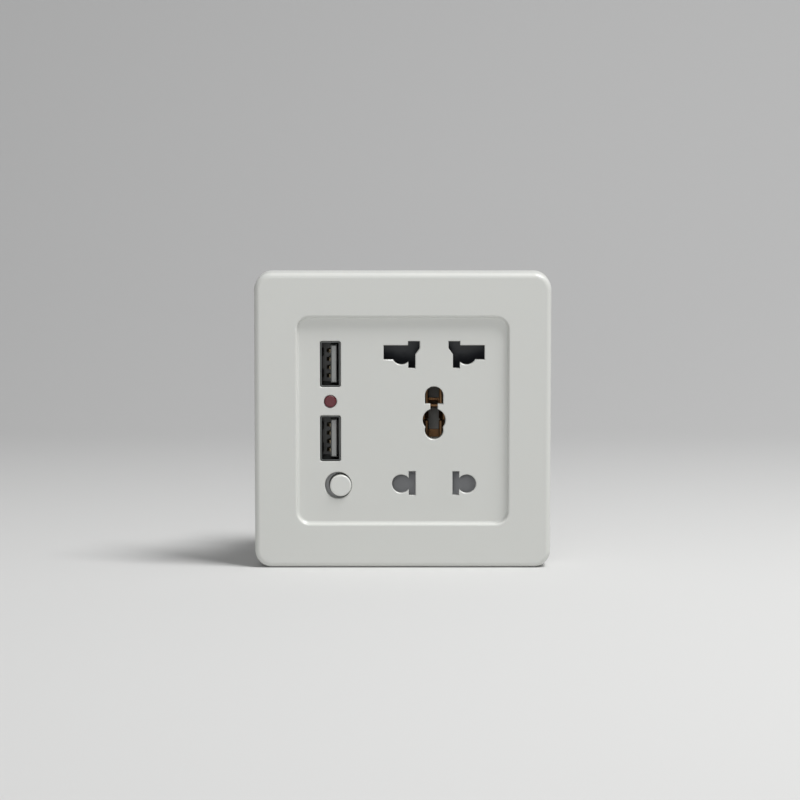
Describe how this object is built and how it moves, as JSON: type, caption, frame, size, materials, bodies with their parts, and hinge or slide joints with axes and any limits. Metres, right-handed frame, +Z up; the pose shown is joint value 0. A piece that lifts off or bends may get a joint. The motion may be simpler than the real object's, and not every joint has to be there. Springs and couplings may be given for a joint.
{
  "type": "usb wall socket",
  "caption": "Square flush wall socket with a multi-standard three pin outlet, a two pin outlet, USB ports, a lamp and a round power button.",
  "frame": {"origin": "middle of the two wall screw slots, on the wall's surface", "axes": "+Y into the wall, so the front looks along -Y; +X to the right seen from the front; +Z up"},
  "size_m": [0.086, 0.0385, 0.086],
  "materials": {
    "cover_plastic": "satin white polycarbonate",
    "frame_plastic": "off white polycarbonate, fine moulding texture",
    "housing_plastic": "pale grey polyamide",
    "three_shutter_plastic": "near black acetal",
    "two_shutter_plastic": "mid grey acetal",
    "spring_steel": "drawn spring wire",
    "contact_bronze": "phosphor bronze strip",
    "terminal_brass": "machined brass",
    "screw_steel": "nickel plated steel",
    "shell_steel": "nickel plated steel sheet",
    "tongue_plastic": "pale grey liquid crystal polymer",
    "contact_gold": "gold flashed",
    "lens_red": "dark red translucent epoxy",
    "lead_tin": "tinned wire",
    "button_plastic": "satin white",
    "switch_plastic": "black thermoplastic",
    "lid_plastic": "mid grey thermoplastic",
    "board_laminate": "green solder mask",
    "ferrite": "dark ferrite",
    "coil_tape": "yellow insulating tape",
    "capacitor_sleeve": "shrink sleeve",
    "lead_red": "red insulation",
    "lead_blue": "blue insulation"
  },
  "bodies": {
    "base": {"mounting_frame": "frame_plastic", "socket_housing": "housing_plastic", "terminal_shroud": "housing_plastic", "module_rear_cover": "housing_plastic", "shutter_spring_three_pin": "spring_steel", "shutter_spring_two_pin": "spring_steel", "live_bus": "contact_bronze", "neutral_bus": "contact_bronze", "earth_bus": "contact_bronze", "live_jaw_three_pin": "contact_bronze", "neutral_jaw_three_pin": "contact_bronze", "live_jaw_two_pin": "contact_bronze", "neutral_jaw_two_pin": "contact_bronze", "earth_jaw": "contact_bronze", "live_terminal": "terminal_brass", "neutral_terminal": "terminal_brass", "earth_terminal": "terminal_brass", "usb_shell_upper": "shell_steel", "usb_shell_lower": "shell_steel", "usb_tongue_upper": "tongue_plastic", "usb_tongue_lower": "tongue_plastic", "usb_contacts_upper": "contact_gold", "usb_contacts_lower": "contact_gold", "indicator_lens": "lens_red", "indicator_leads": "lead_tin", "switch_body": "switch_plastic", "switch_lid": "lid_plastic", "button_spring": "spring_steel", "charger_board": "board_laminate", "transformer_core": "ferrite", "transformer_coil": "coil_tape", "mains_capacitor": "capacitor_sleeve", "output_capacitor": "capacitor_sleeve", "supply_lead_live": "lead_red", "supply_lead_neutral": "lead_blue", "assembly_screw_1": "screw_steel", "assembly_screw_2": "screw_steel", "assembly_screw_3": "screw_steel", "assembly_screw_4": "screw_steel"},
    "cover": {"front_cover": "cover_plastic"},
    "button": {"power_button": "button_plastic"},
    "three_pin_shutter": {"shutter_three_pin": "three_shutter_plastic"},
    "two_pin_shutter": {"shutter_two_pin": "two_shutter_plastic"},
    "live_clamp": {"live_screw": "screw_steel"},
    "neutral_clamp": {"neutral_screw": "screw_steel"},
    "earth_clamp": {"earth_screw": "screw_steel"}
  },
  "joints": [
    {"name": "cover_pull", "type": "slide", "parent": "base", "child": "cover", "axis": [0, -1, 0], "range_m": [0, 0.025]},
    {"name": "button_push", "type": "slide", "parent": "base", "child": "button", "axis": [0, 1, 0], "range_m": [0, 0.0015], "stiffness_N_per_m": 400, "springref_m": -0.001, "deforming": ["button_spring"]},
    {"name": "three_pin_shutter_slide", "type": "slide", "parent": "base", "child": "three_pin_shutter", "axis": [0, 0, 1], "range_m": [0, 0.0084], "stiffness_N_per_m": 60, "springref_m": -0.004, "deforming": ["shutter_spring_three_pin"]},
    {"name": "two_pin_shutter_slide", "type": "slide", "parent": "base", "child": "two_pin_shutter", "axis": [0, 0, -1], "range_m": [0, 0.008], "stiffness_N_per_m": 60, "springref_m": -0.004, "deforming": ["shutter_spring_two_pin"]},
    {"name": "live_clamp_close", "type": "slide", "parent": "base", "child": "live_clamp", "axis": [0, -1, 0], "range_m": [0, 0.0024]},
    {"name": "neutral_clamp_close", "type": "slide", "parent": "base", "child": "neutral_clamp", "axis": [0, -1, 0], "range_m": [0, 0.0024]},
    {"name": "earth_clamp_close", "type": "slide", "parent": "base", "child": "earth_clamp", "axis": [0, -1, 0], "range_m": [0, 0.0024]}
  ]
}
